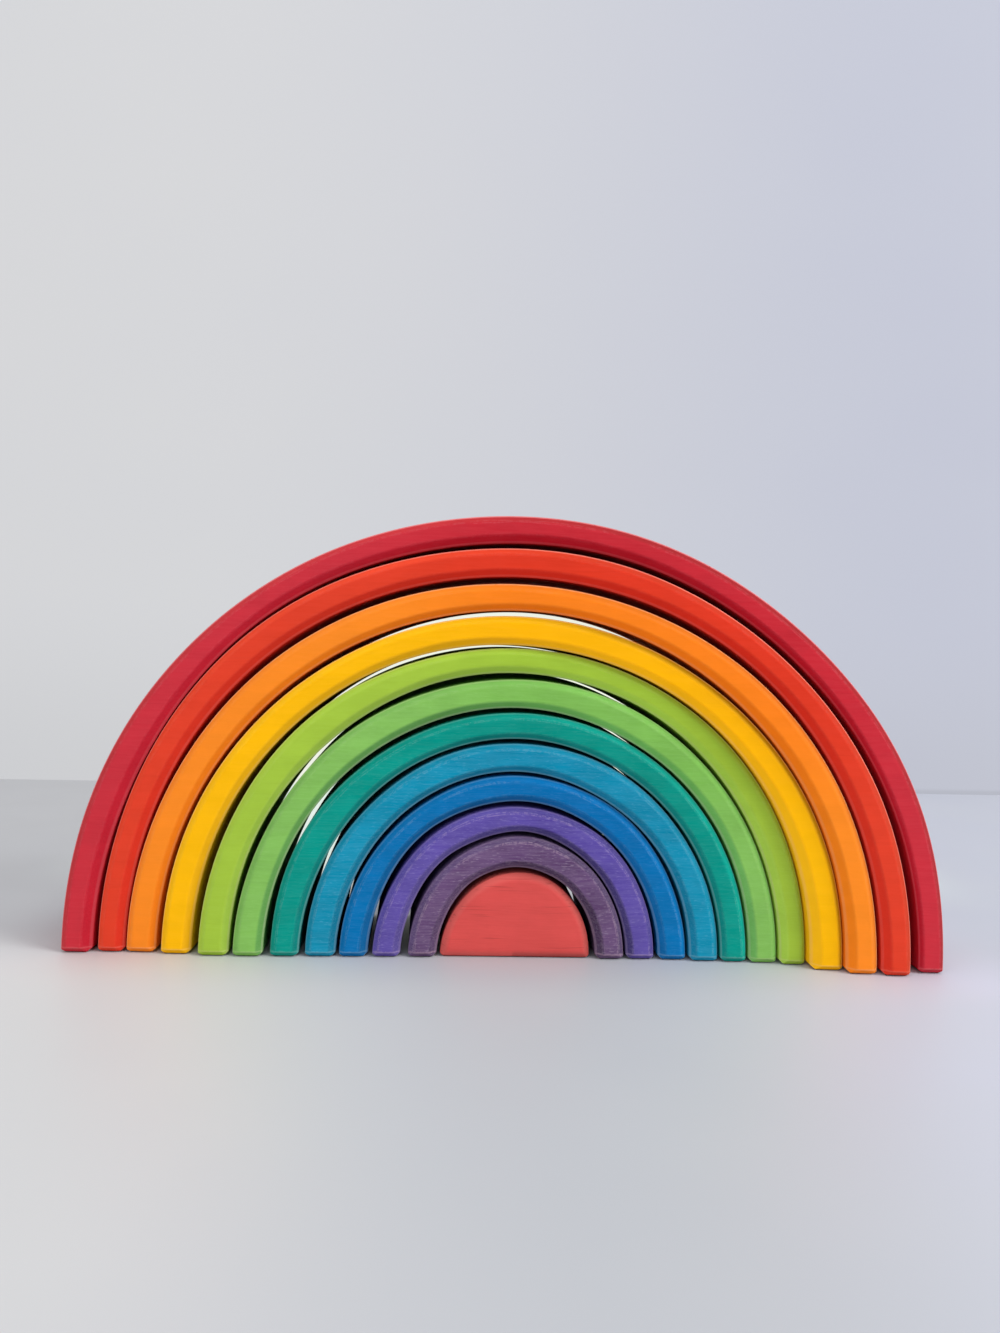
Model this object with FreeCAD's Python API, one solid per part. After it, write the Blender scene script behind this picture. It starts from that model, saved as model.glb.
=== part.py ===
import FreeCAD, Part
import math
import os

# Rainbow stacker: eleven wooden arches, each standing over the next smaller one, and a half disc.
# All twelve are cut from one block, so they share its depth and are all solid.
# +X runs along the feet, +Y from the front faces to the back faces, +Z is up.
# The origin is the middle of the half disc's flat base, on the floor that every piece stands on.

# The block and its curved cuts, in millimetres, measured along the floor
DEPTH = 70.0
CORE_RADIUS = 32.8
BAND = 11.8
GAP = 2.0

# How much taller each curve is than half its width, in millimetres
RISE = 4.0

# Each curve is made of three arcs: this many degrees up from the floor at either side, and a crown
SIDE_SWEEP = 45.0

# How far the half disc is turned under the outermost arch, in degrees anticlockwise from above
CORE_TURN = 2.3

# Flattened edges, in millimetres
OUTER_BEVEL = 2.3
INNER_BEVEL = 3.0
FOOT_BEVEL = 2.4
INNER_HEEL_WIDTH = 2.1
INNER_HEEL_HEIGHT = 1.8
OUTER_HEEL_WIDTH = 1.7
OUTER_HEEL_HEIGHT = 1.5

# The half disc's rise, as a share of RISE
CORE_RISE_SHARE = 1.12

# From the inside out. The first three shares are of BAND, GAP and RISE: how thick the arch is,
# the free space between its foot and that of the piece it covers, and how much taller it is than
# half its width. The last three say where it was put down: its sideways offset at the covered
# piece's front and back faces, as shares of that free space, towards +X, and how far forward it
# stands, as a share of DEPTH.
ARCH_SHARES = [
    ("plum_arch", 1.10, 0.91, 1.36, 0.19, 0.08, 0.022),
    ("violet_arch", 1.00, 1.11, 1.21, -0.46, -0.68, -0.001),
    ("blue_arch", 0.99, 1.12, 1.11, 0.06, 0.08, 0.004),
    ("cerulean_arch", 1.09, 0.89, 0.97, -0.10, 0.22, 0.012),
    ("teal_arch", 1.01, 0.89, 0.93, -0.56, -0.54, 0.007),
    ("green_arch", 1.06, 0.98, 0.88, -0.65, -0.59, 0.010),
    ("lime_arch", 1.00, 0.84, 1.06, -0.61, -0.21, 0.013),
    ("yellow_arch", 1.07, 1.14, 0.72, -0.64, 0.29, 0.036),
    ("orange_arch", 1.05, 0.96, 0.63, -0.29, 0.32, 0.022),
    ("scarlet_arch", 1.02, 0.80, 0.98, 0.45, 0.52, 0.012),
    ("crimson_arch", 1.01, 1.68, 0.51, 0.45, 0.03, -0.021),
]

# How far a cutting wedge runs on past the edge that it flattens, as a share of the bevel
WEDGE_OVERRUN_SHARE = 1.0

ACROSS = FreeCAD.Vector(1, 0, 0)
BACKWARDS = FreeCAD.Vector(0, 1, 0)
UP = FreeCAD.Vector(0, 0, 1)


def prism(points, along):
    """Solid with the given flat outline, extruded by the vector along."""
    outline = Part.makePolygon(points + points[:1])
    return Part.Face(outline).extrude(along)


def arch_section(inner, outer):
    """Points round one foot's cross-section on the floor, with its four long edges bevelled."""
    side = DEPTH / 2
    corners = [
        (inner + INNER_BEVEL, -side),
        (outer - OUTER_BEVEL, -side),
        (outer, OUTER_BEVEL - side),
        (outer, side - OUTER_BEVEL),
        (outer - OUTER_BEVEL, side),
        (inner + INNER_BEVEL, side),
        (inner, side - INNER_BEVEL),
        (inner, INNER_BEVEL - side),
    ]
    return [FreeCAD.Vector(x, y, 0) for x, y in corners]


def core_section(start, outer):
    """Points round a part of the half disc's base, from X of start to the bevelled right side."""
    side = DEPTH / 2
    corners = [
        (start, -side),
        (outer - OUTER_BEVEL, -side),
        (outer, OUTER_BEVEL - side),
        (outer, side - OUTER_BEVEL),
        (outer - OUTER_BEVEL, side),
        (start, side),
    ]
    return [FreeCAD.Vector(x, y, 0) for x, y in corners]


def shift_for(rise):
    """How far the side arcs' centres lie past the middle, which makes the curve this much taller."""
    angle = math.radians(SIDE_SWEEP)
    return rise / (1 + math.tan(angle) - 1 / math.cos(angle))


def crown_height(shift):
    """Height of the crown arc's centre, where the lines between the arcs meet."""
    return shift * math.tan(math.radians(SIDE_SWEEP))


def side_arc(section, shift):
    """The section, standing on the floor at the right, carried up along the right side's arc."""
    outline = Part.Face(Part.makePolygon(section + section[:1]))
    return outline.revolve(ACROSS * -shift, -BACKWARDS, SIDE_SWEEP)


def crown_arc(section, shift):
    """The same section, carried over the crown from the right side's arc to the left side's."""
    outline = Part.Face(Part.makePolygon(section + section[:1]))
    outline.rotate(ACROSS * -shift, -BACKWARDS, SIDE_SWEEP)
    return outline.revolve(UP * crown_height(shift), -BACKWARDS, 180 - 2 * SIDE_SWEEP)


def bent_over(side_section, crown_section, shift):
    """Right side, crown and left side in one solid."""
    right = side_arc(side_section, shift)
    left = right.mirror(FreeCAD.Vector(), ACROSS)
    return crown_arc(crown_section, shift).fuse([right, left]).removeSplitter()


def wedge_corners(edge, inward, width, height):
    """Triangle that flattens a bottom edge: width along the floor, height up the face."""
    past = WEDGE_OVERRUN_SHARE
    return [
        (edge + inward * width * (1 + past), -height * past),
        (edge - inward * width * past, height * (1 + past)),
        (edge - inward * width * past, -height * past),
    ]


def heel_wedge(edge, inward, width, height):
    """Cutter for a bottom edge that runs from front to back, at the given X."""
    corners = wedge_corners(edge, inward, width, height)
    points = [FreeCAD.Vector(x, -DEPTH, z) for x, z in corners]
    return prism(points, BACKWARDS * 2 * DEPTH)


def toe_wedge(edge, inward, reach):
    """Cutter for the bottom edges along the front or the back face, out to X of plus or minus reach."""
    corners = wedge_corners(edge, inward, FOOT_BEVEL, FOOT_BEVEL)
    points = [FreeCAD.Vector(-reach, y, z) for y, z in corners]
    return prism(points, ACROSS * 2 * reach)


def foot_cutters(outer):
    """Cutters for the bottom edges that every piece has: front, back, right and left."""
    reach = outer + DEPTH
    return [
        toe_wedge(-DEPTH / 2, 1, reach),
        toe_wedge(DEPTH / 2, -1, reach),
        heel_wedge(outer, -1, OUTER_HEEL_WIDTH, OUTER_HEEL_HEIGHT),
        heel_wedge(-outer, 1, OUTER_HEEL_WIDTH, OUTER_HEEL_HEIGHT),
    ]


def make_core(outer, rise):
    """The solid half disc in the middle of the rainbow."""
    shift = shift_for(rise)
    middle = shift / math.cos(math.radians(SIDE_SWEEP)) - shift
    whole = bent_over(core_section(-shift, outer), core_section(middle, outer), shift)
    return whole.cut(foot_cutters(outer))


def make_arch(inner, outer, rise):
    """One arch, with its feet bevelled on the inside as well."""
    section = arch_section(inner, outer)
    inside = [
        heel_wedge(inner, 1, INNER_HEEL_WIDTH, INNER_HEEL_HEIGHT),
        heel_wedge(-inner, -1, INNER_HEEL_WIDTH, INNER_HEEL_HEIGHT),
    ]
    return bent_over(section, section, shift_for(rise)).cut(foot_cutters(outer) + inside)


def put_over(covered, front_offset, back_offset, forward):
    """Placement of an arch, from that of the piece it covers and its offsets at both faces."""
    turn = math.degrees(math.asin((back_offset - front_offset) / DEPTH))
    middle = ACROSS * ((front_offset + back_offset) / 2)
    beside = FreeCAD.Placement(middle, FreeCAD.Rotation(UP, -turn))
    ahead = FreeCAD.Placement(BACKWARDS * -forward, FreeCAD.Rotation())
    return covered.multiply(beside).multiply(ahead)


def write(name, shape, place):
    """Place one piece and save it under its own name."""
    shape.Placement = place
    shape.exportStep("parts/" + name + ".step")


def main():
    os.makedirs("parts", exist_ok=True)
    place = FreeCAD.Placement(FreeCAD.Vector(), FreeCAD.Rotation(UP, CORE_TURN))
    write("coral_half_disc", make_core(CORE_RADIUS, CORE_RISE_SHARE * RISE), place)
    outer = CORE_RADIUS
    for name, band_share, gap_share, rise_share, front_share, back_share, forward_share in ARCH_SHARES:
        gap = GAP * gap_share
        inner = outer + gap
        outer = inner + BAND * band_share
        place = put_over(place, front_share * gap, back_share * gap, forward_share * DEPTH)
        write(name, make_arch(inner, outer, rise_share * RISE), place)


main()
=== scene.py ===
import math

import bpy
import numpy as np
from mathutils import Matrix, Vector


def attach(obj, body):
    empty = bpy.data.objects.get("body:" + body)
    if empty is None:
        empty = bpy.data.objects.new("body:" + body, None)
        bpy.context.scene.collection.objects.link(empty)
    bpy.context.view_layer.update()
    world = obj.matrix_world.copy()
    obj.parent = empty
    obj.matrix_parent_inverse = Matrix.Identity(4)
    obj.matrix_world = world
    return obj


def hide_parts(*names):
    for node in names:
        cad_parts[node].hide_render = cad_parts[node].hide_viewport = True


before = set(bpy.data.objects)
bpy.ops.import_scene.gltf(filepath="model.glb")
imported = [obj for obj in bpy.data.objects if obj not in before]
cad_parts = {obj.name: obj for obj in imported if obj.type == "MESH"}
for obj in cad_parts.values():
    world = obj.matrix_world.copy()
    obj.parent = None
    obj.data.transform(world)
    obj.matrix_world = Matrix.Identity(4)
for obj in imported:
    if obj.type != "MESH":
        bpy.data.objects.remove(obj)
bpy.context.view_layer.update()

# Rainbow stacker: eleven stained wooden arches over a half disc, nested on a pale table.
# Each arch is a bevelled section carried over three arcs, and is a little taller than half its width.
# Lengths in this file are in millimetres until a mesh, a lamp or the camera is placed.

MM = 0.001

# The flattened edges, how softly their ridges are sanded, and how narrow a bevel gets near the floor
OUTER_BEVEL = 2.3
INNER_BEVEL = 3.0
FOOT_BEVEL = 2.4
INNER_HEEL = (2.1, 1.8)
OUTER_HEEL = (1.7, 1.5)
FACE_RIDGE = 0.8
OUTER_RIDGE = 1.1
WALL_RIDGE = 0.45
FLOOR_RIDGE = 0.4
HEEL_RIDGE = 0.25
DISC_RIDGE = 1.45
LEAST_BEVEL = 0.55
LEAST_RIDGE = 0.3

# A ridge takes no more than this share of the side next to it
MOST_RIDGE = 0.45

# Where the section is divided: points round each ridge, on a face, on a bevel and on a wall
RIDGE_POINTS = 5
FACE_POINTS = 12
BEVEL_POINTS = 5
WALL_POINTS = 22

# Where the half disc is divided: rows from the middle of a face to its edge, and points along its
# bottom, the slope at its foot, the lowest part of its side, a side arc and the crown's arc
DISC_ROWS = 16
BOTTOM_POINTS = 40
SLOPE_POINTS = 2
FOOT_POINTS = 5
SIDE_POINTS = 36
CROWN_POINTS = 76
FOOT_RISE = 3

# Where the half disc's faces are drawn together: its height, as a share of the half width, and how
# small the innermost row is
HUB_HEIGHT = 0.35
HUB_SIZE = 0.03

# Heights of the rows near the floor, which are level, the longest step between rows further up, how
# many those are at least, the height over which they turn from level to square with the arch, and
# the greatest height of a level row, as a share of the arch's radius
FOOT_ROWS = np.array([
    0.0, 0.03, 0.08, 0.15, 0.25, 0.4, 0.6, 0.85, 1.1, 1.3, 1.42, 1.5, 1.58, 1.7, 1.9, 2.1, 2.25,
    2.35, 2.45, 2.55, 2.65, 2.75, 2.9, 3.1, 3.35, 3.7, 4.2, 5.0,
])
ROW_STEP = 2.2
LEAST_ROWS = 96
BLEND = 20.0
MOST_LEVEL = 0.95

# How small the rows that close an end of an arch are
CAP_SHARES = np.array([0.15, 0.45, 0.75, 0.92])

# The waver of a hand-held cut: how many waves run along a piece, and their heights
WAVES = ((2, 0.035), (5, 0.025), (11, 0.015))

# The largest shift of the side arcs' centres that is looked for, how many are tried, and how near
# the floor a corner has to be to stand on it
MOST_SHIFT = 20
SHIFTS_TRIED = 401
ON_FLOOR = 0.01

# Distance from a ridge or a line that isn't there
FAR = 10.0

# The side arcs reach this far up from the floor. The rest is the crown's arc.
SIDE_SWEEP = math.pi / 4

# For each piece: its stain on the faces, on the outer bevels and on the inner bevels, where the bevels'
# stains also hold painted light and shade; how bright its outer and its inner bevel are at the right foot
# as shares of the left foot's, which is painted light and shade; how much deeper the stain is at the top
# and upper right, which is painted shade; and the inner bevel's width at the left foot, at the top and at
# the right foot, as shares of INNER_BEVEL. Then how strongly each thing in SHOWN shows; the lighter lines
# along the outer edge and over the foot's bevel are painted highlights. Colours are 0 to 255 as a screen
# shows them.
SHOWN = ("Fibres", "Flecks", "Blotches", "Streaks", "Paleness", "Wearing", "Rim", "Outer Highlighting", "Toe Highlighting")
PIECES = {
    "coral_half_disc": dict(
        stain=(217, 81, 77), outer=(226, 99, 93), inner=(216, 80, 75),
        right=(0.73, 1.00), crown_shade=0.00, widths=(1.00, 1.00, 1.00),
        shows=(0.24, 0.04, 0.26, 0.70, 0.04, 0.03, 0.00, 0.00, 0.00)),
    "plum_arch": dict(
        stain=(104, 74, 117), outer=(103, 80, 123), inner=(88, 65, 104),
        right=(0.69, 0.78), crown_shade=0.06, widths=(1.23, 1.10, 1.17),
        shows=(0.34, 0.42, 0.66, 0.20, 0.22, 0.42, 0.32, 0.10, 0.45)),
    "violet_arch": dict(
        stain=(95, 78, 163), outer=(95, 81, 165), inner=(91, 77, 150),
        right=(0.73, 0.71), crown_shade=0.06, widths=(1.07, 1.00, 0.93),
        shows=(0.30, 0.34, 0.50, 0.15, 0.18, 0.34, 0.32, 0.14, 0.42)),
    "blue_arch": dict(
        stain=(0, 113, 176), outer=(3, 116, 178), inner=(10, 99, 155),
        right=(1.10, 1.40), crown_shade=0.05, widths=(1.23, 1.00, 1.03),
        shows=(0.24, 0.20, 0.40, 0.20, 0.06, 0.20, 0.40, 0.20, 0.34)),
    "cerulean_arch": dict(
        stain=(8, 143, 176), outer=(14, 142, 173), inner=(12, 125, 155),
        right=(1.00, 1.23), crown_shade=0.06, widths=(1.07, 0.95, 1.01),
        shows=(0.30, 0.26, 0.46, 0.25, 0.10, 0.22, 0.42, 0.22, 0.34)),
    "teal_arch": dict(
        stain=(0, 150, 135), outer=(3, 151, 136), inner=(8, 132, 123),
        right=(1.20, 1.26), crown_shade=0.08, widths=(0.92, 0.90, 0.75),
        shows=(0.26, 0.16, 0.42, 0.25, 0.06, 0.16, 0.44, 0.20, 0.30)),
    "green_arch": dict(
        stain=(132, 189, 90), outer=(130, 186, 93), inner=(104, 161, 81),
        right=(1.14, 1.50), crown_shade=0.08, widths=(0.96, 1.00, 0.96),
        shows=(0.26, 0.14, 0.34, 0.15, 0.10, 0.10, 0.44, 0.28, 0.30)),
    "lime_arch": dict(
        stain=(162, 195, 63), outer=(169, 206, 71), inner=(158, 189, 70),
        right=(0.95, 1.35), crown_shade=0.05, widths=(0.99, 1.00, 1.10),
        shows=(0.18, 0.06, 0.22, 0.10, 0.06, 0.08, 0.38, 0.40, 0.34)),
    "yellow_arch": dict(
        stain=(252, 185, 5), outer=(250, 194, 24), inner=(239, 174, 18),
        right=(0.69, 1.37), crown_shade=0.10, widths=(1.02, 1.00, 1.33),
        shows=(0.14, 0.03, 0.14, 0.05, 0.05, 0.05, 0.30, 0.65, 0.40)),
    "orange_arch": dict(
        stain=(250, 138, 35), outer=(252, 145, 45), inner=(233, 124, 24),
        right=(0.80, 1.25), crown_shade=0.12, widths=(0.88, 1.00, 1.26),
        shows=(0.14, 0.03, 0.14, 0.05, 0.05, 0.06, 0.22, 0.60, 0.36)),
    "scarlet_arch": dict(
        stain=(224, 64, 40), outer=(240, 79, 50), inner=(211, 52, 34),
        right=(0.66, 1.17), crown_shade=0.09, widths=(1.09, 1.05, 1.17),
        shows=(0.16, 0.03, 0.16, 0.10, 0.04, 0.06, 0.14, 0.55, 0.22)),
    "crimson_arch": dict(
        stain=(201, 48, 60), outer=(199, 54, 60), inner=(189, 32, 49),
        right=(0.65, 1.03), crown_shade=0.09, widths=(1.22, 1.15, 0.55),
        shows=(0.20, 0.05, 0.24, 0.15, 0.05, 0.10, 0.14, 0.65, 0.22)),
}

# How unevenly each piece was cut, in hundredths of a millimetre: its outer curve's and its inner
# curve's departure from the three arcs is a sum of cosines of 1, 2, 3 and more times the angle from
# the right foot. How far each curve departs further at the back face is another such sum, from a
# constant on. A curve without one is cut square.
HUNDREDTHS = 100
CUTS = {
    "coral_half_disc": dict(
        outer=(15, 2, -28, -6, 1, -1, -7, -1)),
    "plum_arch": dict(
        outer=(1, -25, -3, -5, 7, -15, -1, 7), inner=(-10, 36, 14, -13, -1, -8, -3, 6),
        outer_lean=(6, 4, 2, 1, -2, -4)),
    "violet_arch": dict(
        outer=(34, 9, 1, -16, -17, 1, 1, 11), inner=(-10, -41, 8, 9, 18, -13, -13, 17),
        outer_lean=(15, 9, 6, 3, -1, -5), inner_lean=(7, 1, -4, -7, -6, -3)),
    "blue_arch": dict(
        outer=(-1, 23, -3, 8, -10, -4, 16, 6), inner=(-36, -30, 35, -3, 12, -2, -8, 14),
        outer_lean=(1, 8, 14, 10, -1, -11), inner_lean=(-25, -18, -17, -12, -3, 6)),
    "cerulean_arch": dict(
        outer=(-18, 7, 1, 6, -3, -1, 14, -12), inner=(-11, -8, 49, 20, -15, -17, -6, 7),
        outer_lean=(-6, 1, 2, -5, 6, -5), inner_lean=(-27, -24, -20, -11, 6, 18)),
    "teal_arch": dict(
        outer=(-33, 35, -11, -16, 15, -24, 10, -5), inner=(24, -11, 15, 18, -14, -6, -7, 6),
        outer_lean=(2, 5, -2, -9, 7, 0), inner_lean=(-40, -15, -3, 6, 10, 5)),
    "green_arch": dict(
        outer=(-5, 5, 3, -8, 6, 3, -17, 6), inner=(25, 21, -1, 4, -10, -24, -3, 5),
        outer_lean=(39, 18, -26, -8, 11, 0), inner_lean=(-11, -29, 12, 3, 11, 0)),
    "lime_arch": dict(
        outer=(-27, 51, 7, -52, -3, -10, -14, 8), inner=(46, -23, -20, 7, 5, -6, 17, -8),
        outer_lean=(-40, -4, 16, 4, -7, -3), inner_lean=(-40, -72, 45, 18, 14, -4)),
    "yellow_arch": dict(
        outer=(31, 66, -2, -18, -7, -22, -4, -4), inner=(-14, 7, -11, -37, -14, -6, 7, -4),
        inner_lean=(-72, -30, 37, 33, -23, -19)),
    "orange_arch": dict(
        outer=(38, 65, -12, -45, -19, -1, -5, 2), inner=(17, -10, -31, -5, 1, -6, -12, -6),
        outer_lean=(-5, -1, -2, -1, -1, 0), inner_lean=(8, 0, -7, -2, 5, 7)),
    "scarlet_arch": dict(
        outer=(-6, 47, 56, -69, 11, -10, -26, -6), inner=(-24, 38, 4, -62, 8, 4, -1, 2),
        inner_lean=(-31, -3, 17, -2, -7, 0)),
    "crimson_arch": dict(
        outer=(-47, 55, 30, -25, 7, -25, -22, -19), inner=(23, -10, 59, -21, 6, 13, -38, 2)),
}


# Reading the solids

def corners_of(name):
    """All corners of a solid's triangles, each once, in millimetres."""
    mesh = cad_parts[name].data
    points = np.empty(len(mesh.vertices) * 3, np.float32)
    mesh.vertices.foreach_get("co", points)
    return np.unique(np.round(points.reshape(-1, 3).astype(float) / MM, 3), axis=0)


def measure(name):
    """Where a piece stands and how large it is, from its solid.

    The corners that touch the floor give its middle and its turn: they lie evenly about both.
    The widest corner is the outer half width. The crown's arc is centred at a height equal to the
    shift by which the side arcs' centres lie past the middle, and its radius is less than the half
    width by 0.41 of the shift: the shift is the one for which no corner lies outside that arc.
    The crown's corner nearest to that centre gives the inner half width.
    """
    points = corners_of(name)
    floor = points[points[:, 2] < ON_FLOOR]
    middle = floor.mean(axis=0)
    turns = np.linalg.eigh(np.cov((floor - middle)[:, :2].T))[1]
    along = turns[:, np.argmax(np.abs(turns[0]))]
    along = along * np.sign(along[0])
    across = np.array([-along[1], along[0]])
    x = (points - middle)[:, :2] @ along
    y = (points - middle)[:, :2] @ across
    outer = np.abs(x).max()
    shifts = np.linspace(0, MOST_SHIFT, SHIFTS_TRIED)
    crown = points[:, 2] > np.abs(x) + shifts[-1]
    away = np.hypot(x[crown], points[crown, 2] - shifts[:, None])
    shift = np.interp(0, away.max(axis=1) * -1 + outer - short_of(shifts), shifts)
    inner = np.hypot(x, points[:, 2] - shift)[points[:, 2] > np.abs(x) + shift].min() + short_of(shift)
    return dict(middle=middle, along=along, across=across, outer=outer, inner=inner, shift=shift,
                side=np.abs(y).max())


def short_of(shift):
    """By how much the crown arc's radius falls short of the half width."""
    return shift / math.cos(SIDE_SWEEP) - shift


def placed(grid, size):
    """A grid in the piece's own directions, turned and moved to where the piece stands."""
    x, y, z = np.moveaxis(grid, -1, 0)
    spot = x[..., None] * size["along"] + y[..., None] * size["across"] + size["middle"][:2]
    return np.concatenate([spot, z[..., None]], axis=-1)


# Lines that bend and run

def soft_ramp(value, soft):
    """Nothing below zero and the value above it, joined by a parabola that is twice soft wide."""
    joined = (value + soft) ** 2 / (4 * soft)
    return np.where(value < -soft, 0, np.where(value > soft, value, joined))


def drawn_in(height, width, rise):
    """How far a foot's side is drawn in at each height: a slope that meets the side at the
    height rise, and a quarter circle where the slope meets the floor."""
    under = np.clip(FLOOR_RIDGE - height, 0, FLOOR_RIDGE)
    floor_ridge = FLOOR_RIDGE - np.sqrt(FLOOR_RIDGE ** 2 - under ** 2)
    return soft_ramp(width * (1 - height / rise), HEEL_RIDGE) + floor_ridge


def bend(before, corner, after, radius):
    """Rounded corner: the parabola from radius before it to radius after it, and never past
    MOST_RIDGE of either side. Gives its points and each one's distance from the ridge."""
    back, ahead = before - corner, after - corner
    back_length = np.linalg.norm(back, axis=-1, keepdims=True)
    ahead_length = np.linalg.norm(ahead, axis=-1, keepdims=True)
    reach = np.minimum(radius, MOST_RIDGE * np.minimum(back_length, ahead_length))
    first = (corner + back / back_length * reach)[:, None]
    last = (corner + ahead / ahead_length * reach)[:, None]
    t = np.linspace(0, 1, RIDGE_POINTS)[None, :, None]
    points = first * (1 - t) ** 2 + 2 * corner[:, None] * t * (1 - t) + last * t ** 2
    return points, np.abs(2 * t[..., 0] - 1) * reach


def crowded(count):
    """Shares of the way along a run at count points, which crowd towards its ends."""
    return (1 - np.cos(np.pi * np.arange(1, count + 1) / (count + 1))) / 2


def run(start, end, count, reach):
    """Straight run from start to end, divided at count points that crowd towards its ends.
    Gives the points and their distances from the nearer ridge, reach beyond each end."""
    t = crowded(count)[None, :, None]
    points = start[:, None] * (1 - t) + end[:, None] * t
    length = np.linalg.norm(end - start, axis=-1, keepdims=True)
    return points, reach + np.minimum(t[..., 0], 1 - t[..., 0]) * length


def side_codes(before, here, after, count):
    """Codes over a bend, from the run before it, and along the run that follows it: half of a
    change from one run to the next falls on the bend, and a quarter on the run at either side."""
    step, next_step = here - before, after - here
    return (before + step * np.linspace(0.25, 0.75, RIDGE_POINTS),
            here - step / 4 + (step + next_step) / 4 * crowded(count))


def loop(corners, radii, counts, codes):
    """Closed line round the corners, bent at each and straight between, for every row at once.

    corners is rows by corners by 2. Codes number the straight runs. Gives points, distances
    from the nearest ridge, and codes.
    """
    total = corners.shape[1]
    bends = [bend(corners[:, k - 1], corners[:, k], corners[:, (k + 1) % total], radii[k])
             for k in range(total)]
    points, ridges, sides = [], [], []
    for k in range(total):
        turn, near = bends[k]
        following = bends[(k + 1) % total][0]
        flat, flat_near = run(turn[:, -1], following[:, 0], counts[k], near[:, -1:])
        points += [turn, flat]
        ridges += [near, flat_near]
        sides += list(side_codes(codes[k - 1], codes[k], codes[(k + 1) % total], counts[k]))
    return (np.concatenate(points, axis=1), np.concatenate(ridges, axis=1),
            np.broadcast_to(np.concatenate(sides), (len(corners), sum(map(len, sides)))))


# Sides of a piece, in the order in which its section passes them
FACE, OUTER_SLOPE, OUTER_WALL, INNER_SLOPE, INNER_WALL = 0.0, -1.0, -2.0, 1.0, 2.0


# Meshes

def mesh_of(name, grid, marks):
    """Closed mesh from a grid whose columns go round: four-sided faces between the rows, and a
    pole in the middle of the first and of the last row. Marks are values for every grid point."""
    rows, columns = grid.shape[:2]
    poles = np.array([grid[0].mean(axis=0), grid[-1].mean(axis=0)])
    points = np.concatenate([grid.reshape(-1, 3), poles]) * MM
    here = np.arange((rows - 1) * columns).reshape(rows - 1, columns)
    beside = np.roll(here, -1, axis=1)
    quads = np.stack([here, here + columns, beside + columns, beside], axis=-1).reshape(-1, 4)
    rim = np.arange(columns)
    next_rim = np.roll(rim, -1)
    last = (rows - 1) * columns
    first_pole = np.full(columns, rows * columns)
    start = np.stack([first_pole, rim, next_rim], axis=-1)
    end = np.stack([last + rim, first_pole + 1, last + next_rim], axis=-1)
    mesh = bpy.data.meshes.new(name)
    mesh.from_pydata(points.tolist(), [], quads.tolist() + start.tolist() + end.tolist())
    mesh.shade_smooth()
    for mark, values in marks.items():
        flat = np.concatenate([values.reshape(-1), values[0].mean(keepdims=True),
                               values[-1].mean(keepdims=True)])
        mesh.attributes.new(mark, "FLOAT", "POINT").data.foreach_set("value", flat.astype(np.float32))
    return mesh


def capped(grid, marks):
    """The same grid with rows that shrink to the middle of each end, which closes it flat."""
    shares = CAP_SHARES[:, None, None]
    first, last = grid[:1], grid[-1:]
    start = first.mean(axis=1, keepdims=True) * (1 - shares) + first * shares
    end = last.mean(axis=1, keepdims=True) * (1 - shares) + last * shares
    capped_marks = {}
    for mark, values in marks.items():
        capped_marks[mark] = np.concatenate([np.repeat(values[:1], len(CAP_SHARES), axis=0), values,
                                             np.repeat(values[-1:], len(CAP_SHARES), axis=0)])
    return np.concatenate([start, grid, end[::-1]]), capped_marks


def wavering(share, seed):
    """A hand-held cut: one and a little, from slow waves along the piece with phases drawn from
    the seed. Share runs from 0 to 1 along the piece."""
    phases = np.random.default_rng(seed).uniform(0, 2 * np.pi, len(WAVES))
    return 1 + sum(height * np.sin(2 * np.pi * turns * share + phase)
                   for (turns, height), phase in zip(WAVES, phases))


def eased(share, left, top, right):
    """A value that eases from the left foot's to the top's and on to the right foot's."""
    halfway = np.where(share < 0.5, 2 * share, 2 * share - 1)
    ease = halfway ** 2 * (3 - 2 * halfway)
    return np.where(share < 0.5, left + (top - left) * ease, top + (right - top) * ease)


def departure(parts, angle, first=1):
    """How far a cut departs outwards from its arcs, at each angle from the right foot: parts are
    the sizes of successive cosines, from cos(first times the angle) on."""
    return np.cos(angle[..., None] * np.arange(first, first + len(parts))) @ (np.array(parts) / HUNDREDTHS)


def row_angles(s, size):
    """Angle from the right foot at which each row crosses the arch's middle line."""
    middle, shift = (size["inner"] + size["outer"]) / 2, size["shift"]
    height = np.minimum(s, path_length(size) - s)
    climb = (middle + shift) * SIDE_SWEEP
    angle = np.where(height > climb, SIDE_SWEEP + (height - climb) / (middle - short_of(shift)),
                     height / (middle + shift))
    return np.where(s < path_length(size) / 2, np.pi - angle, angle)


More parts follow.
